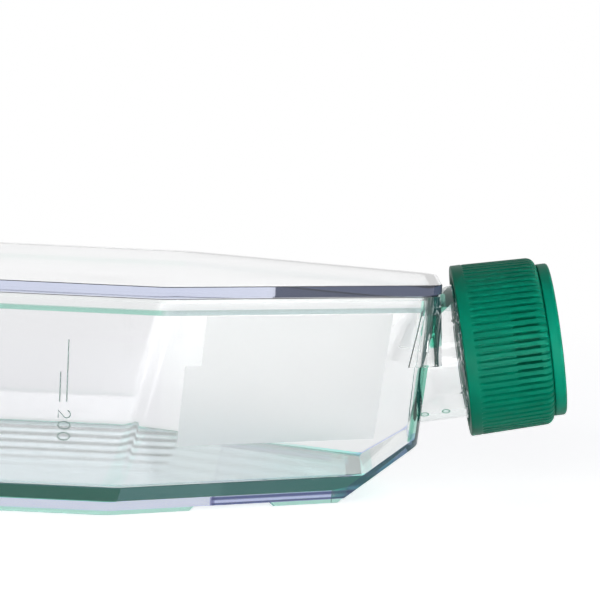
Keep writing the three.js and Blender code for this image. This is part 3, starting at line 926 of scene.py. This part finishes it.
def wall_painted_light(graph, place):
    """Masks and colours for the bead, the long wall and the edges of floor, feet and ramp: painted light in
    greens and lavenders where light runs along the plastic, dark lines of painted reflection in the hollow
    under the floor, and the long wall a little greyer.
    """
    x, y, z = place
    rear, front = rear_and_front(graph, x)
    bead = graph.between(z, RIM_BOTTOM - 0.1, RIM_BOTTOM + BEAD_HEIGHT, 0.15)
    long_wall = graph.all_of(rear, graph.between(z, FLOOR_TOP + FLOOR_FILLET, RIM_BOTTOM, 0.1))
    floor_edge = graph.between(z, FLOOR_UNDERSIDE, FLOOR_TOP, 0.05)
    near_wall = graph.between(y, -FAR, -plan_at(0)["half_width"] + WALL / 2, 0.1)
    foot = graph.between(z, -1, FOOT_HEIGHT, 0.05)
    hollow = graph.between(z, FOOT_HEIGHT, FLOOR_UNDERSIDE, 0.05)
    hollow_front = graph.all_of(hollow, graph.between(x, HOLLOW_LINES_FROM, FAR, 0.2))
    lines = [graph.between(z, *line) for line in HOLLOW_LINES]
    hollow_lines = graph.all_of(hollow_front, graph.math("MAXIMUM", *lines))
    ends = (HOLLOW_LINES_FROM - HOLLOW_LINE_WIDTH / 2, HOLLOW_LINES_FROM + HOLLOW_LINE_WIDTH / 2)
    hollow_end = graph.all_of(hollow, graph.between(x, *ends, 0.2))
    slope = (-math.sin(RAMP_ANGLE), 0, math.cos(RAMP_ANGLE))
    over_ramp = graph.weighed(place, slope, RAMP_START_X * math.sin(RAMP_ANGLE))
    ramp_edge = graph.all_of(graph.between(over_ramp, 0.15, RAMP_THICKNESS - 0.15, 0.05),
                             graph.between(x, RAMP_START_X + 2, TOP_PLAN["front_x"], 0.5))
    return [
        (graph.all_of(floor_edge, graph.ramp(x, *FLOOR_EDGE_FADE)), (0.2, 0.95, 0.8)),
        (graph.all_of(rear, floor_edge, near_wall), (0.04, 0.44, 0.25)),
        (graph.all_of(bead, rear), (0.42, 0.72, 0.62)),
        (graph.all_of(bead, front), (0.62, 0.73, 0.73)),
        (long_wall, (0.97, 0.965, 0.975)),
        (foot, (0.47, 0.75, 0.66)),
        (hollow, (0.72, 0.73, 0.87)),
        (hollow_front, (0.8, 0.82, 0.96)),
        (hollow_lines, (0.15, 0.18, 0.32)),
        (hollow_end, (0.2, 0.2, 0.4)),
        (ramp_edge, (0.4, 0.45, 0.8)),
    ]


def floor_painted_light(graph, place, on_floor):
    """Masks and colours of painted light and shade on the floor: its top as seen through the slab, and bands
    of refracted light along its far edge and across the bend.
    """
    distance = graph.math("MINIMUM", *far_wall_distances(graph, place))
    far_band = graph.between(distance, -1, FAR_BAND_WIDTH, 0.4)
    far_line = graph.between(distance, FAR_BAND_WIDTH, FAR_BAND_WIDTH + FAR_LINE_WIDTH, 0.6)
    return [
        (on_floor, (0.58, 0.76, 0.78)),
        (graph.all_of(on_floor, far_band), (0.3, 0.68, 0.55)),
        (graph.all_of(on_floor, far_line), (0.4, 0.5, 0.5)),
        (graph.all_of(on_floor, graph.between(place[0], *BEND_BAND, 0.8)), (0.7, 0.97, 0.9)),
    ]


def front_painted_light_and_marks(graph, place):
    """Masks and colours of painted light and shade on the front wall's edge, the front skirts and the crown
    under the neck's root, and of two oval marks on the neck.
    """
    x, y, z = place
    lean = (FOOT_PLAN["front_x"] - TOP_PLAN["front_x"]) / RIM_BOTTOM
    front_wall = graph.weighed(place, (1, 0, lean), -FOOT_PLAN["front_x"])
    front_edge = graph.all_of(graph.between(front_wall, *FRONT_EDGE_DEPTH, 0.1),
                              graph.between(y, -TOP_PLAN["front_half"], -FOOT_PLAN["front_half"] + 2, 0.3),
                              graph.between(z, FRONT_EDGE_BOTTOM, SKIRT_BOTTOM, 0.3))
    cut_length = math.hypot(1, NECK_CUT_RISE)
    below_cut = graph.weighed(place, (NECK_CUT_RISE / cut_length, 0, -1 / cut_length),
                              (RIM_TOP - NECK_CUT_RISE * NECK_CUT_X) / cut_length)
    crown = graph.all_of(graph.between(below_cut, -0.1, NECK_CROWN_WALL - 0.6, 0.2),
                         graph.between(x, NECK_CUT_X - 0.5, CAP_EDGE.x + 4, 0.2))
    skirt_window = graph.all_of(graph.between(x, *SKIRT_WINDOW_X, 0.3),
                                graph.between(z, *SKIRT_WINDOW_Z, 0.3))
    painted_light_and_marks = [(front_edge, (0.2, 0.55, 0.42)), (crown, (0.05, 0.32, 0.2)), (skirt_window, (0.35, 0.85, 0.7))]
    for centre in OVALS:
        painted_light_and_marks.append((oval_mask(graph, place, centre, OVAL_INNER), (0.01, 0.15, 0.08)))
        painted_light_and_marks.append((oval_mask(graph, place, centre, -1), (0.55, 0.8, 0.72)))
    return painted_light_and_marks


def floor_waves(graph, place, on_floor):
    """The height of faint waves along the floor's far walls."""
    x, y, _ = place
    rear, front = rear_and_front(graph, x)
    waves = []
    for distance in far_wall_distances(graph, place):
        phase = graph.math("MULTIPLY", graph.math("SUBTRACT", distance, FAR_BAND_WIDTH + FAR_LINE_WIDTH / 2),
                           2 * math.pi / FLOOR_LINE_SPACING)
        waves.append(graph.math("COSINE", phase, 0))
    fade = graph.ramp(y, -FLOOR_WAVE_FADE, FLOOR_WAVE_FADE)
    both = (graph.all_of(waves[0], rear, fade), graph.all_of(waves[1], front))
    return graph.all_of(graph.weighed(both, (1, FRONT_WAVE), 0), on_floor)


def tub_plastic():
    """The tub's clear plastic, with painted light and shade on its edges and floor, two oval marks on the
    neck and the frosted panel.
    """
    # Green absorption, and a cyan painted glow in the volume.
    absorbed, painted_glow = (0.02, 0.17, 0.146), (1.3, 4.3, 4.3)
    material, graph, shader = clear_plastic("clear_tub", absorbed, 41.0, painted_glow, TUB_COLOR)
    place = graph.flask_place()
    on_floor = graph.between(place[2], FLOOR_TOP - 0.1, FLOOR_TOP + 0.05, 0.02)
    painted_light_and_marks = wall_painted_light(graph, place) + floor_painted_light(graph, place, on_floor) + front_painted_light_and_marks(graph, place)
    # The painted light and shade, and the oval marks, multiply the plastic's colour one after another.
    color = TUB_COLOR
    for mask, tint in painted_light_and_marks:
        color = graph.mixed("MULTIPLY", mask, color, tint)
    graph.feed(shader.inputs["Base Color"], color)
    ripple = graph.new("Bump")
    ripple.inputs["Strength"].default_value = 1.0
    ripple.inputs["Distance"].default_value = FLOOR_WAVE * MM
    graph.feed(ripple.inputs["Height"], floor_waves(graph, place, on_floor))
    graph.feed(ripple.inputs["Normal"], graph.nodes["Bump"].outputs["Normal"])
    graph.feed(shader.inputs["Normal"], ripple.outputs["Normal"])
    extra = graph.math("MULTIPLY", panel_mask(graph, place), PANEL_ROUGHNESS - CLEAR_ROUGHNESS)
    graph.feed(shader.inputs["Roughness"], graph.math("ADD", extra, CLEAR_ROUGHNESS))
    return material


# ---- Opaque plastic ------------------------------------------------------------------------------------

def moulded_plastic(name, color, roughness):
    """Opaque moulded plastic with a fine satin grain and faint colour clouding."""
    material, graph, shader = new_material(name)
    cloud = graph.new("TexNoise")
    cloud.inputs["Scale"].default_value = 60.0
    cloud.inputs["Detail"].default_value = 3.0
    ramp = graph.new("MapRange")
    ramp.inputs["From Min"].default_value = 0.3
    ramp.inputs["From Max"].default_value = 0.7
    ramp.inputs["To Min"].default_value = 0.92
    ramp.inputs["To Max"].default_value = 1.06
    tint = graph.new("VectorMath")
    tint.operation = "SCALE"
    tint.inputs[0].default_value = color
    graph.feed(cloud.inputs["Vector"], graph.new("TexCoord").outputs["Object"])
    graph.feed(ramp.inputs["Value"], cloud.outputs["Fac"])
    graph.feed(tint.inputs["Scale"], ramp.outputs["Result"])
    graph.feed(shader.inputs["Base Color"], tint.outputs["Vector"])
    graph.feed(shader.inputs["Normal"], graph.noise_bump(2500.0, 0.08, 0.05 * MM).outputs["Normal"])
    shader.inputs["Roughness"].default_value = roughness
    shader.inputs["Specular IOR Level"].default_value = 0.06
    return material


# ---- Stage, lights and camera --------------------------------------------------------------------------

def make_stage():
    """A white table that keeps the flask's soft shadow and is plain white further out."""
    size = 3000
    corners = [(-size, -size, 0), (size, -size, 0), (size, size, 0), (-size, size, 0)]
    floor = object_from("studio_floor", corners, [(0, 1, 2, 3)])
    floor.data.transform(TO_WORLD)
    floor.data.transform(Matrix.Translation((0, 0, -FLOOR_GAP * MM)))
    material, graph, shader = new_material("studio_floor")
    shader.inputs["Base Color"].default_value = (*FLOOR_COLOR, 1)
    shader.inputs["Roughness"].default_value = 0.9
    shader.inputs["Specular IOR Level"].default_value = 0.0
    lift = graph.new("Emission")
    graph.feed(lift.inputs["Strength"], graph.math("MULTIPLY", graph.seen(), FLOOR_LIFT))
    near = graph.new("AddShader")
    graph.feed(near.inputs[0], shader.outputs[0])
    graph.feed(near.inputs[1], lift.outputs[0])
    distance = graph.new("VectorMath")
    distance.operation = "LENGTH"
    graph.feed(distance.inputs[0], graph.new("TexCoord").outputs["Object"])
    mix = graph.new("MixShader")
    graph.feed(mix.inputs["Fac"], graph.ramp(distance.outputs["Value"], *WHITE_FLOOR_FROM))
    graph.feed(mix.inputs[1], near.outputs[0])
    graph.feed(mix.inputs[2], graph.new("Emission").outputs[0])
    graph.feed(graph.nodes["Material Output"].inputs["Surface"], mix.outputs[0])
    floor.data.materials.append(material)


def make_world():
    """White wherever it is seen. The room's own light is dimmer overhead and from beyond the back end."""
    world = bpy.data.worlds.new("studio")
    bpy.context.scene.world = world
    world.use_nodes = True
    graph = Graph(world.node_tree)
    direction = graph.new("SeparateXYZ")
    graph.feed(direction.inputs[0], graph.new("TexCoord").outputs["Generated"])
    back_end = graph.ramp(graph.math("MULTIPLY", direction.outputs["X"], -1), *BACK_END_REACH)
    behind = graph.ramp(direction.outputs["Y"], *BEHIND_REACH)
    overhead = graph.ramp(direction.outputs["Z"], *OVERHEAD_REACH)
    color = graph.mixed("MIX", back_end, ROOM_COLOR, BACK_END_COLOR)
    color = graph.mixed("MIX", behind, color, BEHIND_COLOR)
    color = graph.mixed("MULTIPLY", overhead, color, OVERHEAD_COLOR)
    room = graph.nodes["Background"]
    graph.feed(room.inputs["Color"], color)
    white = graph.new("Background")
    white.inputs["Color"].default_value = (1, 1, 1, 1)
    mix = graph.new("MixShader")
    graph.feed(mix.inputs["Fac"], graph.seen())
    graph.feed(mix.inputs[1], room.outputs[0])
    graph.feed(mix.inputs[2], white.outputs[0])
    graph.feed(graph.nodes["World Output"].inputs["Surface"], mix.outputs[0])


def area_light(name, place, target, size, power):
    """A rectangular lamp, kept out of reflections, where its glare would hide what lies behind a plate."""
    light = bpy.data.lights.new(name, "AREA")
    light.shape = "RECTANGLE"
    light.size, light.size_y = size
    light.energy = power
    obj = bpy.data.objects.new(name, light)
    bpy.context.scene.collection.objects.link(obj)
    obj.location = place
    obj.rotation_euler = (Vector(target) - Vector(place)).to_track_quat("-Z", "Y").to_euler()
    obj.visible_glossy = False
    return obj


def make_lights():
    """Two low lights from the front, and a narrow one on the table ahead, which lights the cap from below."""
    area_light("key", (-0.4, -1.2, 0.35), target=(0, 0, 0), size=(1.0, 0.6), power=6.5)
    area_light("fill", (0.9, -0.8, 0.25), target=(0, 0, 0), size=(0.8, 0.4), power=4)
    bounce = area_light("bounce", (0.26, -0.3, 0.45), target=(0.26, -0.28, 0), size=(0.25, 0.2), power=11)
    bounce.data.spread = math.radians(40)


def make_camera():
    """A long lens, a little above the flask and level with its long side, turned a little about its axis."""
    camera = bpy.data.cameras.new("camera")
    camera.sensor_width = 36.0
    camera.lens = CAMERA_LENS
    camera.clip_end = 50.0
    obj = bpy.data.objects.new("camera", camera)
    bpy.context.scene.collection.objects.link(obj)
    tilt = Matrix.Rotation(math.radians(90 - CAMERA_DOWN), 4, "X")
    roll = Matrix.Rotation(math.radians(CAMERA_ROLL), 4, "Z")
    obj.matrix_world = Matrix.Translation(TO_WORLD @ CAMERA_PLACE) @ tilt @ roll
    bpy.context.scene.camera = obj


# ---- Assembly ------------------------------------------------------------------------------------------

def dress(piece, node, body, material):
    """Gives a piece its material and its body, and hides the CAD node that it stands for."""
    piece.data.materials.clear()
    piece.data.materials.append(material)
    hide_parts(node)
    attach(piece, body)


# The lid's plastic carries a lavender painted glow in its volume.
lid_plastic = clear_plastic("clear_lid", (0.1, 0.19, 0.52), 5.2, (0.61, 0.69, 0.93), (1.0, 1.0, 1.0))[0]
cap_green = moulded_plastic("green_cap", (0.0, 0.12, 0.069), 0.4)
disc_green = moulded_plastic("green_insert", (0.0, 0.155, 0.092), 0.45)
seal_grey = moulded_plastic("grey_gasket", (0.7, 0.72, 0.7), 0.6)
film_white = moulded_plastic("filter", (0.85, 0.85, 0.82), 0.8)
mark_grey = moulded_plastic("mark_grey", (0.24, 0.31, 0.29), 0.6)

dress(make_tub(), "body", "flask", tub_plastic())
dress(make_top_plate(), "top_plate", "flask", lid_plastic)
dress(make_cap_shell(), "cap_shell", "cap", cap_green)
dress(make_cap_disc(), "cap_disc", "cap", disc_green)
dress(make_seal_ring(), "seal_ring", "cap_seal", seal_grey)
dress(make_membrane(), "vent_membrane", "cap_seal", film_white)

marks = make_volume_marks()
marks.data.materials.append(mark_grey)
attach(marks, "flask")

make_stage()
make_world()
make_lights()
make_camera()

view = bpy.context.scene.view_settings
view.view_transform = "Standard"
cycles = bpy.context.scene.cycles
cycles.max_bounces = 24
cycles.transmission_bounces = 24
cycles.transparent_max_bounces = 16
